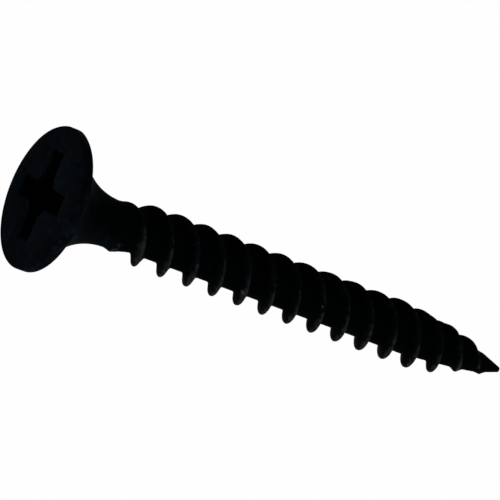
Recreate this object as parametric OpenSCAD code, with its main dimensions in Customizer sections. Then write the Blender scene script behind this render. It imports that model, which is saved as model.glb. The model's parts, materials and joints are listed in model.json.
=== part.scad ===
// Drywall screw, 3.5 x 32 mm, with a bugle head, a cross recess and a twin-start thread.
// The screw is one piece of steel: the head is forged, the thread and the point are rolled.
// It lies on a table as it comes to rest, on the rim of its head and on the last full crest
// of its thread. The point looks along +X, +Z is up, and the origin is on the table, under
// the middle of the screw. Distances along the screw are measured from the face of its head.

/* [Head] */
// Diameter of the flat face
head_d = 7.8; // [7:0.1:8.6]
// Height of the straight rim round the face
rim_h = 0.55; // [0.3:0.05:0.8]
// Small chamfer between the face and the rim
rim_chamfer = 0.06; // [0.02:0.01:0.15]
// Radius of the hollow throat that runs from the rim into the shank
throat_r = 4.2; // [3.6:0.1:4.8]

/* [Cross recess] */
// Span from the end of one wing to the end of the opposite one, at the face
recess_span = 5; // [4:0.1:5.2]
// Width of a wing
wing_w = 1.2; // [0.8:0.05:1.4]
// Depth of the wings
wing_depth = 2.2; // [1.6:0.1:2.6]
// Lean of the wings' outer ends towards the axis, in degrees
wing_lean = 26.5; // [20:0.5:30]
// Diameter of the round core of the recess, at the face
core_d = 2.4; // [2:0.1:2.6]
// Depth of the small cone below the wings
pilot_depth = 0.4; // [0.2:0.1:0.6]
// Turn of the recess about the axis, in degrees from the table's side
recess_turn = 59.5; // [0:0.5:90]

/* [Shank] */
// Length of the screw, from the face to the tip
screw_l = 31.7; // [26:0.1:38]
// Diameter of the plain shank under the head
shank_d = 2.6; // [2.4:0.05:2.8]
// Distance from the face to the end of the plain shank
shank_end = 5.1; // [4.9:0.1:6]
// Length over which the shank narrows to the core of the thread
shank_taper_l = 0.8; // [0.4:0.1:1.2]

/* [Thread] */
// Outer diameter of the thread
thread_d = 3.5; // [3.2:0.1:4]
// Diameter of the core between the crests
root_d = 2.2; // [2:0.05:2.4]
// Number of separate threads that wind side by side
starts = 2; // [1:1:2]
// Distance from one crest to the next along the screw
crest_pitch = 1.71; // [1.4:0.01:2.2]
// Angle between the two flanks of a thread, in degrees
flank_angle = 60; // [50:1:64]
// Width of the flat on top of a crest
crest_w = 0.13; // [0.08:0.01:0.2]
// Distance from the face to where the thread begins to rise
thread_start = 4.4; // [4.4:0.1:6]
// Length over which the thread rises to its full height
runout_l = 2.6; // [1.5:0.1:4]
// How the thread rises: 1 is a straight ramp, less is a quick rise that levels off
runout_curve = 0.45; // [0.4:0.05:1]
// Turn of the thread about the axis, in degrees
thread_turn = 81; // [0:1:180]

/* [Point] */
// Length of the point, over which the crests shrink away
point_l = 5.9; // [5:0.1:7]
// Length of the end of the point that has no crests
bare_tip_l = 0.8; // [0.6:0.1:1.2]
// Length over which the core shrinks to the tip
core_point_l = 6.9; // [5.5:0.1:8]
// How full the crests are in the point: 1 is a straight cone, less is fuller
crest_curve = 0.53; // [0.45:0.01:1]
// How full the core is in the point: 1 is a straight cone, less is fuller
core_curve = 0.42; // [0.4:0.01:1]
// Angle of the cone at the very tip, in degrees
tip_angle = 33; // [28:1:40]
// Width of the blunt end of the tip
tip_w = 0.28; // [0.1:0.02:0.4]

/* [Hidden] */

// Facets of the turned head, and columns of the thread round the axis
round_facets = 96;
columns = 36;
// Straight neck past the throat, and the length by which the threaded shank reaches back into it
neck_l = 0.05;
joint_overlap = 0.3;
// Step that keeps the facets of the threaded shank inside the turned neck
joint_step = 0.01;
// Length by which the recess's cutters stand proud of the face
cut_margin = 0.2;

head_r = head_d / 2;
shank_r = shank_d / 2;
root_r = root_d / 2;
outer_r = thread_d / 2;
lead = crest_pitch * starts;

// The throat is one arc from the edge of the rim to the shank, which it meets without a corner
throat_centre_r = shank_r + throat_r;
throat_end = rim_h + sqrt(pow(throat_r, 2) - pow(throat_centre_r - head_r, 2));
// The turned head ends here, and the threaded shank goes on
head_end = throat_end + neck_l;

// Half the width of a thread at its foot
foot_w = crest_w / 2 + (outer_r - root_r) * tan(flank_angle / 2);

// Each thread shows five lines in its section: its two feet, the two edges of its crest
// and the middle of the gap to the next thread
line_offsets = [-foot_w, -crest_w / 2, crest_w / 2, foot_w, crest_pitch / 2];
line_is_crest = [false, true, true, false, false];
lines = len(line_offsets);
lines_per_lead = lines * starts;
// The threaded shank starts inside the turned head
shank_top = head_end - joint_overlap;
// Threads are counted from one that lies wholly before that start to one that lies past the tip
turns_before = 1 + thread_turn / 360;
first_thread = floor((shank_top - thread_start + foot_w) / crest_pitch - starts * turns_before);
last_thread = ceil((screw_l - thread_start + foot_w) / crest_pitch);
line_count = (last_thread - first_thread) * lines;

// The last crest before the point, on the table's side, carries the screw with the rim of the head
table_phase = thread_turn * starts / 360;
crests_to_point = floor((screw_l - point_l - thread_start) / crest_pitch - table_phase);
rest_crest = thread_start + crest_pitch * (crests_to_point + table_phase);
// The screw leans down towards its point until both touch the table
lean = atan((head_r - outer_r) / (rest_crest - rim_h));
face_height = head_r * cos(lean) + rim_h * sin(lean);
front_x = screw_l * cos(lean);
back_x = -(head_r - rim_chamfer) * sin(lean);

function share(v) = max(0, min(1, v));

// Radius of the core at a distance z from the face. It shrinks in a curve, and then in a cone.
function curve_r(z) = root_r * pow(share((screw_l - z) / core_point_l), core_curve);
function cone_r(z) = tip_w / 2 + (screw_l - z) * tan(tip_angle / 2);
function core_r(z) =
    z > screw_l - core_point_l
    ? min(curve_r(z), cone_r(z))
    : shank_r - joint_step - (shank_r - joint_step - root_r) * share((z - shank_end) / shank_taper_l);

// Radius of the crests: they rise at the run-out, run level, and shrink along the point
function rise_r(z) = root_r + (outer_r - root_r) * pow(share((z - thread_start) / runout_l), runout_curve);
function to_bare_tip(z) = share((screw_l - bare_tip_l - z) / (point_l - bare_tip_l));
function fall_r(z) = outer_r * pow(to_bare_tip(z), crest_curve);
function crest_r(z) = max(core_r(z), min(rise_r(z), fall_r(z)));

// Place along the axis of line i in column c. Each line climbs one lead in a full turn.
function line_z(i, c) =
    thread_start
    + crest_pitch * (first_thread + floor(i / lines))
    + line_offsets[i % lines]
    + lead * ((c + 0.5) / columns + thread_turn / 360);

function line_point(i, c) =
    let (z = line_z(i, c))
    let (r = line_is_crest[i % lines] ? crest_r(z) : core_r(z))
    let (angle = 360 * (c + 0.5) / columns)
    [r * cos(angle), r * sin(angle), z];

// Number of a point in the list of the polyhedron. What would lie above the start of the
// threaded shank falls on its first ring, and what would lie past the tip falls on the tip.
// The column after the last one is the first column, a full lead further along.
grid_points = line_count * columns;
tip_index = grid_points + columns;
function point_index(i, c) =
    c == columns
    ? point_index(i + lines_per_lead, 0)
    : (let (z = line_z(i, c))
        z <= shank_top ? grid_points + c : (z >= screw_l || i >= line_count) ? tip_index : i * columns + c);

module threaded_shank() {
    ring_r = core_r(shank_top);
    grid = [for (i = [0:line_count - 1]) for (c = [0:columns - 1]) line_point(i, c)];
    ring = [
        for (c = [0:columns - 1])
            let (angle = 360 * (c + 0.5) / columns)
            [ring_r * cos(angle), ring_r * sin(angle), shank_top]
    ];
    tip = [[0, 0, screw_l]];
    sides = [
        for (i = [0:line_count - 1])
            for (c = [0:columns - 1])
                let (p = point_index(i, c))
                let (q = point_index(i, c + 1))
                let (s = point_index(i + 1, c + 1))
                let (t = point_index(i + 1, c))
                each [[p, s, q], [p, t, s]]
    ];
    cap = [[for (c = [0:columns - 1]) grid_points + c]];
    faces = [for (f = sides) if (f[0] != f[1] && f[1] != f[2] && f[2] != f[0]) f];
    polyhedron(points = concat(grid, ring, tip), faces = concat(faces, cap), convexity = 10);
}

// Half section of the head, from the axis outwards, with the face at the bottom
module head_section() {
    difference() {
        polygon([
            [0, 0],
            [head_r - rim_chamfer, 0],
            [head_r, rim_chamfer],
            [head_r, rim_h],
            [shank_r, throat_end],
            [shank_r, head_end],
            [0, head_end]
        ]);
        translate([throat_centre_r, throat_end]) circle(r = throat_r, $fn = 2 * round_facets);
    }
}

// Cross recess: two crossed bars within a cone, a round core, and the cone that the punch leaves
module recess() {
    span_r = recess_span / 2;
    core_r = core_d / 2;
    cut_depth = wing_depth + cut_margin;
    mouth_r = span_r + cut_margin * tan(wing_lean);
    floor_r = span_r - wing_depth * tan(wing_lean);
    rotate(recess_turn) {
        translate([0, 0, -cut_margin]) {
            intersection() {
                for (turn = [0, 90])
                    rotate(turn)
                        translate([-mouth_r, -wing_w / 2, 0])
                            cube([2 * mouth_r, wing_w, cut_depth]);
                cylinder(h = cut_depth, r1 = mouth_r, r2 = floor_r, $fn = round_facets);
            }
            cylinder(h = cut_depth, r = core_r, $fn = round_facets);
        }
        translate([0, 0, wing_depth]) cylinder(h = pilot_depth, r1 = core_r, r2 = 0, $fn = round_facets);
    }
}

module screw() {
    color("#14181c")
        translate([-(front_x + back_x) / 2, 0, face_height])
            rotate([0, 90 + lean, 0]) {
                difference() {
                    rotate_extrude($fn = round_facets) head_section();
                    recess();
                }
                threaded_shank();
            }
}

screw();
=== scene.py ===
import json
from math import acos, asin, atan2, ceil, cos, degrees, exp, hypot, pi, radians, sin, tan

import bmesh
import bpy
from mathutils import Matrix, Vector, noise


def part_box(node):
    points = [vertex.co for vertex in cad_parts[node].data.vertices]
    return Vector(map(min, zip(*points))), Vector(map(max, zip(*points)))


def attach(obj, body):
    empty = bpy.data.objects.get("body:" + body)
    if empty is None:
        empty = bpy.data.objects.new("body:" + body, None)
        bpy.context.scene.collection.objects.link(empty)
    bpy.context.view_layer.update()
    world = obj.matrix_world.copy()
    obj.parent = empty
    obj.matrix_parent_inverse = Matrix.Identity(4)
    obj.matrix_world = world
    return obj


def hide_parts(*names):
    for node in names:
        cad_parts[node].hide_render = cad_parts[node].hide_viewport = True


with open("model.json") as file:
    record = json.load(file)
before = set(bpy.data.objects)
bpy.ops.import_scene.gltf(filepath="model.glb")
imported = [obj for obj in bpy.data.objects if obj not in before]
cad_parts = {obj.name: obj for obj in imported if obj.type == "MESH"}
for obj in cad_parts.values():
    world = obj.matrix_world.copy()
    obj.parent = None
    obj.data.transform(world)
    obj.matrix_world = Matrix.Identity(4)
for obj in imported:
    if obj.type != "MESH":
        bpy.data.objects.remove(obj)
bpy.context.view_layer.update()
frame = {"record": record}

# The threaded shank. Flat dies roll two threads side by side into a steel wire, which is
# thinner between the crests and stays smooth for a short neck under the head.
# Lengths are in millimetres, along the screw's own axis from the face of its head.
MM = 0.001
SHANK_R = 1.3
SHANK_END = 5.1
SHANK_TAPER_L = 0.8
CORE_R = 1.1
CREST_R = 1.75
CREST_H = CREST_R - CORE_R
STARTS = 2
CREST_PITCH = 1.71
LEAD = STARTS * CREST_PITCH
CREST_W = 0.13
FLANK_ANGLE = radians(60)
FOOT_W = CREST_W / 2 + CREST_H * tan(FLANK_ANGLE / 2)
CREST_ROUND = 0.055
FOOT_ROUND = 0.09
THREAD_START = 4.4
THREAD_TURN = radians(81)
RUNOUT_L = 2.6
RUNOUT_CURVE = 0.45
# The point: its crests shrink faster than its core, which ends in a cone with a round nose
POINT_L = 5.9
BARE_TIP_L = 0.8
POINT_CURVE = 0.53
CORE_POINT_L = 6.9
CORE_POINT_CURVE = 0.42
TIP_ANGLE = radians(33)
TIP_W = 0.28
NOSE_L = 0.12
NOSE_TURNS = (25, 50, 75)
# Steps in one turn of the thread, and the distance within which two points are one
COLUMNS = 120
SAME_PLACE = 0.002

head_face = next(m for m in frame["record"]["mounts"] if m["name"] == "head_face")
face_centre = Vector(head_face["pos_m"])
axis = -Vector(head_face["axis"])
SCREW_L = (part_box("screw")[1].x - face_centre.x) / axis.x / MM


def share(value):
    """The value, held between 0 and 1."""
    return max(0.0, min(1.0, value))


def core_radius(z):
    """Radius between the crests. In the point it shrinks in a curve, and then in a cone."""
    if z > SCREW_L - CORE_POINT_L:
        curve = CORE_R * share((SCREW_L - z) / CORE_POINT_L) ** CORE_POINT_CURVE
        cone = TIP_W / 2 + (SCREW_L - z) * tan(TIP_ANGLE / 2)
        return min(curve, cone)
    return SHANK_R - (SHANK_R - CORE_R) * share((z - SHANK_END) / SHANK_TAPER_L)


def crest_radius(z):
    """Radius of the crests: they rise at the run-out, run level, and shrink along the point."""
    rising = CORE_R + CREST_H * share((z - THREAD_START) / RUNOUT_L) ** RUNOUT_CURVE
    to_bare_tip = (SCREW_L - BARE_TIP_L - z) / (POINT_L - BARE_TIP_L)
    falling = CREST_R * share(to_bare_tip) ** POINT_CURVE
    return max(core_radius(z), min(rising, falling))


# The section of the even thread starts well before the neck and ends past the tip. It is spun
# once round while it moves on by one lead, merges with itself, and is then cut to length.
bm = bmesh.new()
section = []
crests = []
feet = []
thread_phase = STARTS * THREAD_TURN / (2 * pi)
last_thread = ceil((SCREW_L - THREAD_START) / CREST_PITCH)
for thread in range(-2 * STARTS, last_thread + 1):
    crest_z = THREAD_START + CREST_PITCH * (thread + thread_phase)
    gap = bm.verts.new((CORE_R, 0, crest_z - CREST_PITCH / 2))
    foot_before = bm.verts.new((CORE_R, 0, crest_z - FOOT_W))
    crest_before = bm.verts.new((CREST_R, 0, crest_z - CREST_W / 2))
    crest_after = bm.verts.new((CREST_R, 0, crest_z + CREST_W / 2))
    foot_after = bm.verts.new((CORE_R, 0, crest_z + FOOT_W))
    section += [gap, foot_before, crest_before, crest_after, foot_after]
    crests += [crest_before, crest_after]
    feet += [foot_before, foot_after]
for pair in zip(section, section[1:]):
    bm.edges.new(pair)
# The section's last foot is its open end, which has nothing to round
for corners, reach, segments in ((crests, CREST_ROUND, 2), (feet[:-1], FOOT_ROUND, 3)):
    bmesh.ops.bevel(
        bm, geom=corners, offset=reach, segments=segments, profile=0.5, affect="VERTICES", material=-1
    )
bmesh.ops.spin(
    bm,
    geom=bm.verts[:] + bm.edges[:],
    cent=(0, 0, 0),
    axis=(0, 0, 1),
    dvec=(0, 0, LEAD / COLUMNS),
    angle=2 * pi,
    steps=COLUMNS,
)
bmesh.ops.remove_doubles(bm, verts=bm.verts[:], dist=SAME_PLACE)
nose_z = SCREW_L - NOSE_L
for plane_z, side in ((THREAD_START, {"clear_inner": True}), (nose_z, {"clear_outer": True})):
    bmesh.ops.bisect_plane(
        bm,
        geom=bm.verts[:] + bm.edges[:] + bm.faces[:],
        dist=SAME_PLACE,
        plane_co=(0, 0, plane_z),
        plane_no=(0, 0, 1),
        **side,
    )

# The dies leave the crests a little uneven, and more so in the point, but not on the side that
# lies on the table. Angles run round the screw from that side.
CREST_WAVE = 0.9
CREST_ROUGH = 0.018
POINT_ROUGH = 0.035
TABLE_SIDE = radians(35)
# Dents, burrs and full places that this screw has on its crests:
# place along the screw, its angle in degrees, rise of the crest, reach along and round it
MARKS = (
    (18.30, 118, 0.03, 0.30, 15),
    (20.00, 115, 0.06, 0.30, 16),
    (23.35, 125, 0.09, 0.30, 24),
    (25.50, 158, -0.145, 0.40, 36),
    (27.02, 140, -0.11, 0.25, 17),
    (27.35, 182, 0.05, 0.20, 15),
    (27.62, -158, 0.07, 0.12, 7),
    (28.85, 170, 0.04, 0.45, 38),
    (28.68, -42, -0.17, 0.30, 24),
    (28.44, -72, -0.07, 0.20, 16),
    (30.42, -42, 0.12, 0.15, 12),
    (26.55, -50, 0.06, 0.12, 7),
    (26.70, -36, 0.05, 0.12, 6),
)


def unevenness(z, angle, rise):
    """How far a crest of that rise stands proud of its even height at that place."""
    spot = Vector((CREST_R * cos(angle), CREST_R * sin(angle), z)) / CREST_WAVE
    rough = CREST_ROUGH + (POINT_ROUGH - CREST_ROUGH) * share((z - SCREW_L + POINT_L) / POINT_L)
    uneven = rough * noise.noise(spot) * share(abs(angle) / TABLE_SIDE) * share(rise / CREST_W)
    for mark_z, mark_turn, mark_rise, reach_z, reach_turn in MARKS:
        off = (degrees(angle) - mark_turn + 180) % 360 - 180
        uneven += mark_rise * exp(-((z - mark_z) / reach_z) ** 2 - (off / reach_turn) ** 2)
    return uneven


# A mask of painted light and shade, with wear. It is near 0 in hollows, where it paints shade, and
# near 1 on crests and edges, which rub on other screws in their box and wear. One side of this screw
# is painted lighter, as light falls on it, and the higher its focus, the narrower that side is.
LIT_SIDE = radians(-75)
LIT_SIDE_FOCUS = 3
# Mask between the crests, where it paints shade, and along them, and the painted highlight that the
# lit side adds to the crests
ROOT_SHOWS = 0.1
CREST_SHOWS = 0.9
CREST_LIT_GAIN = 0.24
# How far the painted light of the lit side reaches down the flanks, where 0 is not at all
FLANK_LIT_REACH = 0.6
# A crest that rises this far takes as much of the mask as a full one
FULL_MASK_RISE = CREST_H / 4.5
# Painted light of the neck on its lit side, where that ends, and the length over which it fades
NECK_SHOWS = 0.86
NECK_LIT_END = 6.2
NECK_LIT_FADE = 1.5


def lit_side_share(v):
    """How much painted light the side gets: 1 in its middle, 0 a quarter turn away, and below 0 past
    that.
    """
    return cos(atan2(v.co.y, v.co.x) - LIT_SIDE) ** LIT_SIDE_FOCUS


def neck_light_and_shade(v, shade_level):
    """Mask of the neck and of what runs out of it: painted light on its lit side, and elsewhere the
    shade level given.
    """
    light_and_wear_share = share(lit_side_share(v)) * share((NECK_LIT_END - v.co.z) / NECK_LIT_FADE)
    return shade_level + (NECK_SHOWS - shade_level) * light_and_wear_share


# Each point moves in or out to the core and crest that its place along the screw has, and takes
# its mask: painted shade between the crests, painted light on the lit side, and the wear of the crests
light_shade_and_wear = bm.verts.layers.float.new("light_shade_and_wear")
for v in bm.verts:
    radius = hypot(v.co.x, v.co.y)
    height = share((radius - CORE_R) / CREST_H)
    core = core_radius(v.co.z)
    rise = crest_radius(v.co.z) - core
    flank_share = height ** (1 - FLANK_LIT_REACH * share(lit_side_share(v)))
    crest_gain = (CREST_SHOWS - ROOT_SHOWS + CREST_LIT_GAIN * lit_side_share(v)) * share(rise / FULL_MASK_RISE)
    v[light_shade_and_wear] = neck_light_and_shade(v, ROOT_SHOWS) + flank_share * crest_gain
    rise += unevenness(v.co.z, atan2(v.co.y, v.co.x), rise)
    scale = (core + height * rise) / radius
    v.co.x *= scale
    v.co.y *= scale


def verts_in(geom):
    return [x for x in geom if isinstance(x, bmesh.types.BMVert)]


def draw_out(bm, ring, stations):
    """Extrudes the open ring of edges through each (radius, z), and returns the last ring."""
    for radius, z in stations:
        old_radius = sum(hypot(*v.co.xy) for e in ring for v in e.verts) / (2 * len(ring))
        old_z = ring[0].verts[0].co.z
        out = bmesh.ops.extrude_edge_only(bm, edges=ring)["geom"]
        ring = [x for x in out if isinstance(x, bmesh.types.BMEdge)]
        grow = radius / old_radius
        bmesh.ops.scale(bm, vec=(grow, grow, 1), verts=verts_in(out))
        bmesh.ops.translate(bm, vec=(0, 0, z - old_z), verts=verts_in(out))
    return ring


def open_ring(bm, z):
    """The open edges that lie at that distance from the face."""
    open_edges = [e for e in bm.edges if e.is_boundary]
    return [e for e in open_edges if all(abs(v.co.z - z) < SAME_PLACE for v in e.verts)]


# The open end at the tip is drawn round the nose, and its last ring closes in one point
nose_r = core_radius(nose_z)
nose = [
    (nose_r * cos(radians(turn)), SCREW_L - NOSE_L * (1 - sin(radians(turn)))) for turn in NOSE_TURNS
]
last_ring = draw_out(bm, open_ring(bm, nose_z), nose)
tip = bmesh.ops.extrude_edge_only(bm, edges=last_ring)["geom"]
bmesh.ops.pointmerge(bm, verts=verts_in(tip), merge_co=(0, 0, SCREW_L))

# The head. It is upset from the same wire: a hollow throat, which spreads the paper of a
# plasterboard without tearing it, runs out to a thin rim round a flat face.
HEAD_R = 3.9
RIM_H = 0.55
RIM_ROUND = 0.06
REAR_ROUND = 0.05
THROAT_R = 4.2
THROAT_RINGS = 24
# Steps in the rounding of each edge of the rim
EDGE_STEPS = 4
# A small bulge on the rim: its angle and reach in degrees, its rise, and how far in it starts
BULGE_TURN = 151
BULGE_REACH = 14
BULGE_RISE = 0.06
BULGE_DEPTH = 1.0
# Mask of the face, of the rim and of its rear edge, the painted light that the lit side adds to the
# rim, and how deep the painted shade of the narrow end of the throat is, where 1 is as much as between
# the crests
FACE_SHOWS = 0.82
RIM_SHOWS = 0.84
REAR_EDGE_SHOWS = 0.95
RIM_LIT_GAIN = 0.08
THROAT_SHADING = 0.8
throat_turn = acos((SHANK_R + THROAT_R - HEAD_R) / THROAT_R)
throat_end = RIM_H + THROAT_R * sin(throat_turn)
throat = [
    (
        SHANK_R + THROAT_R * (1 - cos(throat_turn * i / THROAT_RINGS)),
        throat_end - THROAT_R * sin(throat_turn * i / THROAT_RINGS),
    )
    for i in range(1, THROAT_RINGS)
]
# The rear edge is a curve from the throat to the rim that bends towards their corner
corner = Vector((HEAD_R, RIM_H))
before = corner - REAR_ROUND * Vector((sin(throat_turn), -cos(throat_turn)))
after = corner - REAR_ROUND * Vector((0, 1))
ways = [i / EDGE_STEPS for i in range(EDGE_STEPS + 1)]
rear_edge = [before * (1 - way) ** 2 + corner * 2 * way * (1 - way) + after * way**2 for way in ways]
front_edge = [
    (HEAD_R - RIM_ROUND * (1 - cos(pi / 2 * way)), RIM_ROUND * (1 - sin(pi / 2 * way)))
    for way in ways
]
face_ring = draw_out(bm, open_ring(bm, THREAD_START), throat + rear_edge + front_edge)
# The head's mask: painted shade deep in the throat, and painted light on the lit side of the rim and
# neck
for v in bm.verts:
    if v.co.z < throat_end:
        off_bulge = degrees(atan2(v.co.y, v.co.x)) - BULGE_TURN
        in_bulge = share((v.co.xy.length - HEAD_R) / BULGE_DEPTH + 1)
        v.co.xy *= 1 + BULGE_RISE * exp(-((off_bulge / BULGE_REACH) ** 2)) * in_bulge / HEAD_R
        at_rear_edge = abs(v.co.z - RIM_H) < REAR_ROUND / 2
        on_rim = share((hypot(*v.co.xy) - HEAD_R) / RIM_ROUND + 1)
        throat_shade = share((v.co.z - RIM_H) / (throat_end - RIM_H) * THROAT_SHADING)
        rim_shows = (REAR_EDGE_SHOWS if at_rear_edge else RIM_SHOWS) + RIM_LIT_GAIN * lit_side_share(v)
        v[light_shade_and_wear] = FACE_SHOWS + throat_shade * (ROOT_SHOWS - FACE_SHOWS)
        v[light_shade_and_wear] += on_rim * (rim_shows - FACE_SHOWS)
        if v.co.z > RIM_H:
            v[light_shade_and_wear] = neck_light_and_shade(v, v[light_shade_and_wear])

# The cross recess. A punch sinks it while the head is upset: four wings with leaning ends
# round a core, and a floor that falls to the middle. It sits a little off the head's axis.
RECESS_SPAN = 5.0
RECESS_TURN = radians(59.5)
RECESS_SHIFT = 0.16
WING_W = 1.2
WING_DEPTH = 2.2
WING_LEAN = radians(26.5)
WING_ROUND = 0.08
CORE_CUT = 0.44
FLOOR_ROUND = 0.08
FLOOR_FALL = 0.4
# The mouth is rounded in two steps, the first one flat and the second one steep
MOUTH_ROUND = 0.04
MOUTH_STEPS = (0.3, 0.7)
# Mask of the mouth and of the top of the walls, from where the painted shade deepens to 0 at the floor
MOUTH_SHOWS = 0.82
WALL_SHOWS = 0.2

# A square with a wing drawn out of each side is the cross, and its corners are then rounded
punch = Matrix.Translation((0, RECESS_SHIFT, 0)) @ Matrix.Rotation(RECESS_TURN, 4, "Z")
square = bmesh.ops.create_grid(
    bm, x_segments=1, y_segments=1, size=WING_W / 2, matrix=punch
)["verts"][0].link_faces[0]
wings = []
for edge in square.edges[:]:
    outwards = ((edge.verts[0].co + edge.verts[1].co) / 2 - punch.translation).normalized()
    out = bmesh.ops.extrude_edge_only(bm, edges=[edge])["geom"]
    bmesh.ops.translate(bm, vec=outwards * (RECESS_SPAN - WING_W) / 2, verts=verts_in(out))
    wings += [x for x in out if isinstance(x, bmesh.types.BMFace)]
cross = bmesh.ops.dissolve_faces(bm, faces=[square, *wings])["region"][0]
inner = [v for v in cross.verts if (v.co - punch.translation).length < WING_W]
outer = [v for v in cross.verts if (v.co - punch.translation).length > WING_W]
for corners, reach, segments in ((inner, CORE_CUT, 1), (outer, WING_ROUND, 3)):
    bmesh.ops.bevel(
        bm, geom=corners, offset=reach, segments=segments, profile=0.5, affect="VERTICES", material=-1
    )
cross = max(bm.faces, key=lambda f: len(f.verts))
for v in cross.verts:
    v[light_shade_and_wear] = MOUTH_SHOWS
bmesh.ops.triangle_fill(bm, use_beauty=True, edges=face_ring + cross.edges[:])

# The cross sinks from the face, past its rounded mouth, to the floor, where its ends lean in
for step in MOUTH_STEPS:
    bmesh.ops.inset_individual(bm, faces=[cross], thickness=MOUTH_ROUND * (1 - step))
    bmesh.ops.translate(bm, vec=(0, 0, MOUTH_ROUND * step), verts=cross.verts)
for v in cross.verts:
    v[light_shade_and_wear] = WALL_SHOWS
cross = bmesh.ops.extrude_discrete_faces(bm, faces=[cross])["faces"][0]
bmesh.ops.translate(bm, vec=(0, 0, WING_DEPTH - MOUTH_ROUND), verts=cross.verts)
# The floor of the cross gets the darkest painted shade, and the ends of its wings lean in
for v in cross.verts:
    v[light_shade_and_wear] = 0
    local = punch.inverted() @ v.co
    if local.xy.length > WING_W + CORE_CUT:
        quarter = round(atan2(local.y, local.x) / (pi / 2)) * (pi / 2)
        inwards = punch.to_3x3() @ Vector((-cos(quarter), -sin(quarter), 0))
        v.co += inwards * WING_DEPTH * tan(WING_LEAN)
floor_edges = cross.edges[:]
bmesh.ops.bevel(
    bm, geom=floor_edges, offset=FLOOR_ROUND, segments=2, profile=0.5, affect="EDGES", material=-1
)
recess_floor = max(bm.faces, key=lambda f: len(f.verts))
middle = bmesh.ops.poke(bm, faces=[recess_floor])["verts"]
bmesh.ops.translate(bm, vec=(0, 0, FLOOR_FALL), verts=middle)

# The finished screw. Its skin is closed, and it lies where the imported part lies, on the rim of
# its head and on its last full crest. It is smooth to the eye but for edges sharper than this.
SHARP_ANGLE = radians(35)
bmesh.ops.recalc_face_normals(bm, faces=bm.faces[:])
lean = asin(-axis.z)
place = Matrix.Translation(face_centre) @ Matrix.Rotation(pi / 2 + lean, 4, "Y") @ Matrix.Scale(MM, 4)
bm.transform(place)
screw_mesh = bpy.data.meshes.new("drywall_screw")
bm.to_mesh(screw_mesh)
bm.free()
screw_mesh.shade_smooth()
screw_mesh.set_sharp_from_angle(angle=SHARP_ANGLE)
screw = bpy.data.objects.new("drywall_screw", screw_mesh)
bpy.context.scene.collection.objects.link(screw)


def linear(hex_colour):
    """The linear colour of an sRGB hex value, as the shader sockets take it."""
    values = [int(hex_colour[i : i + 2], 16) / 255 for i in (1, 3, 5)]
    return [v / 12.92 if v <= 0.04045 else ((v + 0.055) / 1.055) ** 2.4 for v in values] + [1.0]


def add_node(tree, kind, settings=None, sockets=None, links=None):
    """A node with its settings, its socket values, and links from the outputs of other nodes.

    Sockets go by name, or by number where a node has several of one name. A Mix node's are
    0 for the factor, 2 and 3 for two numbers, and 6 and 7 for two colours.
    """
    node = tree.nodes.new(kind)
    for name, value in (settings or {}).items():
        setattr(node, name, value)
    for name, value in (sockets or {}).items():
        node.inputs[name].default_value = value
    for name, output in (links or {}).items():
        tree.links.new(output, node.inputs[name])
    return node


# Black phosphate on steel, dyed and lightly oiled: a dull skin of fine crystals, almost black
# with a trace of blue. Where crests and rim rub on other screws it wears to a dull grey, and the
# same grey paints highlights on the lit side, while hollows are painted darker as shade.
# The crystals are 0.02 to 0.05 mm across, too fine to show, so they are drawn coarser.
SKIN_DARK = "#010202"
SKIN_PALE = "#0a1117"
WEAR_HIGHLIGHT_GREY = "#252526"
# Crystals, the blotches of oil that they hold, and the patches in which the skin wears:
# the size of each pattern and its detail
CRYSTALS = (0.12, 2.0)
BLOTCHES = (1.4, 3.0)
PATCHES = (0.35, 2.0)
# How much the crystals count beside the blotches, and between which sums the skin turns pale
CRYSTAL_SHARE = 0.5
PALE_FROM = 0.5
PALE_TO = 1.0
# The patches add as much as half this spread to the mask of painted light, shade and wear, or take it
# away. Between the next two sums the skin turns from painted shade to pale, as where light falls, and
# between the last two it turns to the grey of wear and of painted highlights.
PATCH_SPREAD = 0.6
LIT_PALE_FROM = 0.62
LIT_PALE_TO = 0.88
WEAR_HIGHLIGHT_FROM = 0.92
WEAR_HIGHLIGHT_TO = 1.18
# The skin is rougher where the blotches are strong, and worn places are smoother and a little
# metallic. The bump of the crystals is drawn weaker than their depth alone would make it.
BLOTCH_LOW = 0.3
BLOTCH_HIGH = 0.7
SKIN_ROUGH_MIN = 0.62
SKIN_ROUGH_MAX = 0.85
WORN_ROUGH = 0.4
WORN_METALLIC = 0.2
SKIN_SPECULAR = 0.003
CRYSTAL_DEPTH = 0.012
GRAIN_STRENGTH = 0.5
# Two nicks in the skin, down to steel, painted bright grey as their glint: place along the screw,
# its angle in degrees, its distance from the axis, and its reach
NICK_GLINT_GREY = "#5c5c5e"
NICKS = ((12.72, -88, 1.59, 0.18), (17.60, -120, 1.68, 0.07))
phosphate = bpy.data.materials.new("black_phosphate_on_steel")
phosphate.use_nodes = True
tree = phosphate.node_tree
shader = tree.nodes["Principled BSDF"]
place_on = add_node(tree, "ShaderNodeTexCoord").outputs["Object"]
crystals, blotches, patches = [
    add_node(
        tree, "ShaderNodeTexNoise",
        sockets={"Scale": 1 / (size * MM), "Detail": detail}, links={"Vector": place_on},
    ).outputs["Fac"]
    for size, detail in (CRYSTALS, BLOTCHES, PATCHES)
]
mask_light_shade_wear = add_node(tree, "ShaderNodeAttribute", {"attribute_name": "light_shade_and_wear"}).outputs["Fac"]
patchy = add_node(
    tree, "ShaderNodeMath", {"operation": "MULTIPLY_ADD"},
    {1: PATCH_SPREAD, 2: -PATCH_SPREAD / 2}, {0: patches},
).outputs[0]
light_and_wear_share = add_node(
    tree, "ShaderNodeMath", {"operation": "ADD"}, links={0: mask_light_shade_wear, 1: patchy}
).outputs[0]
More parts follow.
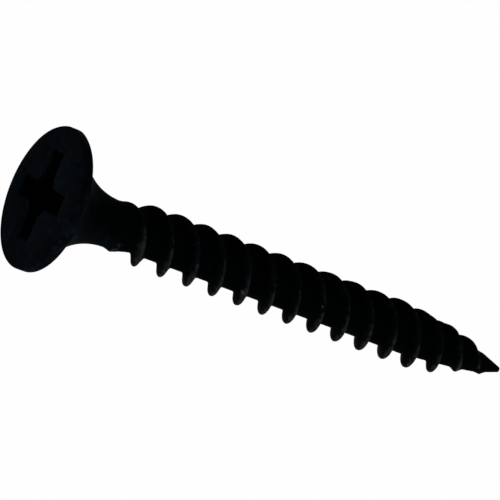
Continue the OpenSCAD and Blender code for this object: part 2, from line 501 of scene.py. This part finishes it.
# Grey of wear on crests and rim edges, which is also a painted highlight on the lit side
wear_and_highlight = add_node(
    tree, "ShaderNodeMapRange",
    sockets={"From Min": WEAR_HIGHLIGHT_FROM, "From Max": WEAR_HIGHLIGHT_TO}, links={"Value": light_and_wear_share},
).outputs[0]
mottle = add_node(
    tree, "ShaderNodeMath", {"operation": "MULTIPLY_ADD"},
    {1: CRYSTAL_SHARE}, {0: crystals, 2: blotches},
).outputs[0]
mottled = add_node(
    tree, "ShaderNodeMapRange",
    sockets={"From Min": PALE_FROM, "From Max": PALE_TO}, links={"Value": mottle},
).outputs[0]
# Painted light and shade: the skin is pale where the mask is high and dark in the hollows, as shade
lit_paleness = add_node(
    tree, "ShaderNodeMapRange",
    sockets={"From Min": LIT_PALE_FROM, "From Max": LIT_PALE_TO}, links={"Value": light_and_wear_share},
).outputs[0]
pale = add_node(
    tree, "ShaderNodeMath", {"operation": "MULTIPLY"}, links={0: mottled, 1: lit_paleness}
).outputs[0]
skin = add_node(
    tree, "ShaderNodeMix", {"data_type": "RGBA"},
    {6: linear(SKIN_DARK), 7: linear(SKIN_PALE)}, {0: pale},
).outputs[2]
colour = add_node(
    tree, "ShaderNodeMix", {"data_type": "RGBA"}, {7: linear(WEAR_HIGHLIGHT_GREY)}, {0: wear_and_highlight, 6: skin}
).outputs[2]
# Each nick is painted bright grey, for the glint of its bare steel
for nick_z, nick_turn, nick_r, reach in NICKS:
    turn = radians(nick_turn)
    nick = place @ Vector((nick_r * cos(turn), nick_r * sin(turn), nick_z))
    away = add_node(
        tree, "ShaderNodeVectorMath", {"operation": "DISTANCE"}, {1: nick}, {0: place_on}
    ).outputs["Value"]
    nick_and_glint = add_node(
        tree, "ShaderNodeMapRange",
        sockets={"From Min": reach * MM, "From Max": 0.0}, links={"Value": away},
    ).outputs[0]
    colour = add_node(
        tree, "ShaderNodeMix", {"data_type": "RGBA"}, {7: linear(NICK_GLINT_GREY)}, {0: nick_and_glint, 6: colour}
    ).outputs[2]
skin_rough = add_node(
    tree, "ShaderNodeMapRange",
    sockets={
        "From Min": BLOTCH_LOW,
        "From Max": BLOTCH_HIGH,
        "To Min": SKIN_ROUGH_MIN,
        "To Max": SKIN_ROUGH_MAX,
    },
    links={"Value": blotches},
).outputs[0]
roughness = add_node(
    tree, "ShaderNodeMix", {"data_type": "FLOAT"}, {3: WORN_ROUGH}, {0: wear_and_highlight, 2: skin_rough}
).outputs[0]
metallic = add_node(
    tree, "ShaderNodeMath", {"operation": "MULTIPLY"}, {1: WORN_METALLIC}, {0: wear_and_highlight}
).outputs[0]
grain = add_node(
    tree, "ShaderNodeBump",
    sockets={"Strength": GRAIN_STRENGTH, "Distance": CRYSTAL_DEPTH * MM}, links={"Height": crystals},
).outputs[0]
finish = {"Base Color": colour, "Metallic": metallic, "Roughness": roughness, "Normal": grain}
for name, output in finish.items():
    tree.links.new(output, shader.inputs[name])
shader.inputs["Specular IOR Level"].default_value = SKIN_SPECULAR
screw_mesh.materials.append(phosphate)
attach(screw, "root")
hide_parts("screw")

# The stage: a sheet of white paper, which goes on past the view. It is plain white where it is
# seen, also in a gloss or through glass, and keeps a faint shadow under the screw.
FLOOR_HALF = 1.0
FLOOR_GLOW = 0.99
PAPER_WHITE = "#f4f4f4"
PURE_WHITE = "#ffffff"


def seen_rays(tree):
    """1 for what the camera sees, straight or in a surface, and 0 for what lights the screw."""
    path = add_node(tree, "ShaderNodeLightPath").outputs
    seen = path["Is Camera Ray"]
    for ray in ("Is Glossy Ray", "Is Transmission Ray"):
        seen = add_node(
            tree, "ShaderNodeMath", {"operation": "MAXIMUM"}, links={0: seen, 1: path[ray]}
        ).outputs[0]
    return seen


floor_bm = bmesh.new()
bmesh.ops.create_grid(floor_bm, x_segments=1, y_segments=1, size=FLOOR_HALF)
floor_mesh = bpy.data.meshes.new("floor")
floor_bm.to_mesh(floor_mesh)
floor_bm.free()
floor = bpy.data.objects.new("floor", floor_mesh)
bpy.context.scene.collection.objects.link(floor)
paper = bpy.data.materials.new("white_paper_sweep")
paper.use_nodes = True
tree = paper.node_tree
tree.nodes.clear()
glow_share = add_node(
    tree, "ShaderNodeMath", {"operation": "MULTIPLY"}, {1: FLOOR_GLOW}, {0: seen_rays(tree)}
)
matt = add_node(tree, "ShaderNodeBsdfDiffuse", sockets={"Color": linear(PAPER_WHITE)})
glow = add_node(tree, "ShaderNodeEmission", sockets={"Color": linear(PURE_WHITE), "Strength": 1.0})
mixed = add_node(
    tree, "ShaderNodeMixShader",
    links={0: glow_share.outputs[0], 1: matt.outputs[0], 2: glow.outputs[0]},
)
add_node(tree, "ShaderNodeOutputMaterial", links={"Surface": mixed.outputs[0]})
floor_mesh.materials.append(paper)

# The room: white where it is seen, as the floor is, and dim as a light on the screw.
ROOM_LIGHT = 0.1
world = bpy.data.worlds.new("studio")
bpy.context.scene.world = world
world.use_nodes = True
tree = world.node_tree
tree.nodes.clear()
room, white = [
    add_node(tree, "ShaderNodeBackground", sockets={"Color": linear(PURE_WHITE), "Strength": strength})
    for strength in (ROOM_LIGHT, 1.0)
]
mixed = add_node(
    tree, "ShaderNodeMixShader", links={0: seen_rays(tree), 1: room.outputs[0], 2: white.outputs[0]}
)
add_node(tree, "ShaderNodeOutputWorld", links={"Surface": mixed.outputs[0]})


def softbox(name, azimuth, elevation, distance, size, power):
    """A square lamp that looks at the origin. Azimuth is in degrees from the near side, -Y."""
    lamp = bpy.data.lights.new(name, "AREA")
    lamp.energy = power
    lamp.size = size
    holder = bpy.data.objects.new(name, lamp)
    holder.matrix_world = (
        Matrix.Rotation(radians(azimuth), 4, "Z")
        @ Matrix.Rotation(radians(90 - elevation), 4, "X")
        @ Matrix.Translation((0, 0, distance))
    )
    bpy.context.scene.collection.objects.link(holder)


# Soft lamps, with sizes in metres and powers in watts: one looks along the screw at its face,
# a low one brightens the near side of the crests, and a weak one fills from above.
softbox("key", azimuth=-88, elevation=7, distance=0.4, size=0.06, power=0.6)
softbox("low", azimuth=8, elevation=6, distance=0.4, size=0.08, power=0.8)
softbox("top", azimuth=20, elevation=60, distance=0.5, size=0.3, power=0.05)

# The camera looks down on the lying screw from the side of its head, and is rolled.
VIEW_AZIMUTH = radians(-34.97)
VIEW_ELEVATION = radians(32.0)
VIEW_ROLL = radians(36.73)
VIEW_DISTANCE = 151.185 * MM
VIEW_CENTRE = Vector((-1.908, 1.730, 3.164)) * MM
FOCAL_LENGTH = 199.29
SENSOR_WIDTH = 36
NEAREST_SEEN = 0.01
camera_data = bpy.data.cameras.new("camera")
camera_data.lens = FOCAL_LENGTH
camera_data.sensor_width = SENSOR_WIDTH
camera_data.clip_start = NEAREST_SEEN
camera = bpy.data.objects.new("camera", camera_data)
camera.matrix_world = (
    Matrix.Translation(VIEW_CENTRE)
    @ Matrix.Rotation(VIEW_AZIMUTH, 4, "Z")
    @ Matrix.Rotation(pi / 2 - VIEW_ELEVATION, 4, "X")
    @ Matrix.Rotation(VIEW_ROLL, 4, "Z")
    @ Matrix.Translation((0, 0, VIEW_DISTANCE))
)
bpy.context.scene.collection.objects.link(camera)
bpy.context.scene.camera = camera
bpy.context.scene.view_settings.view_transform = "Standard"
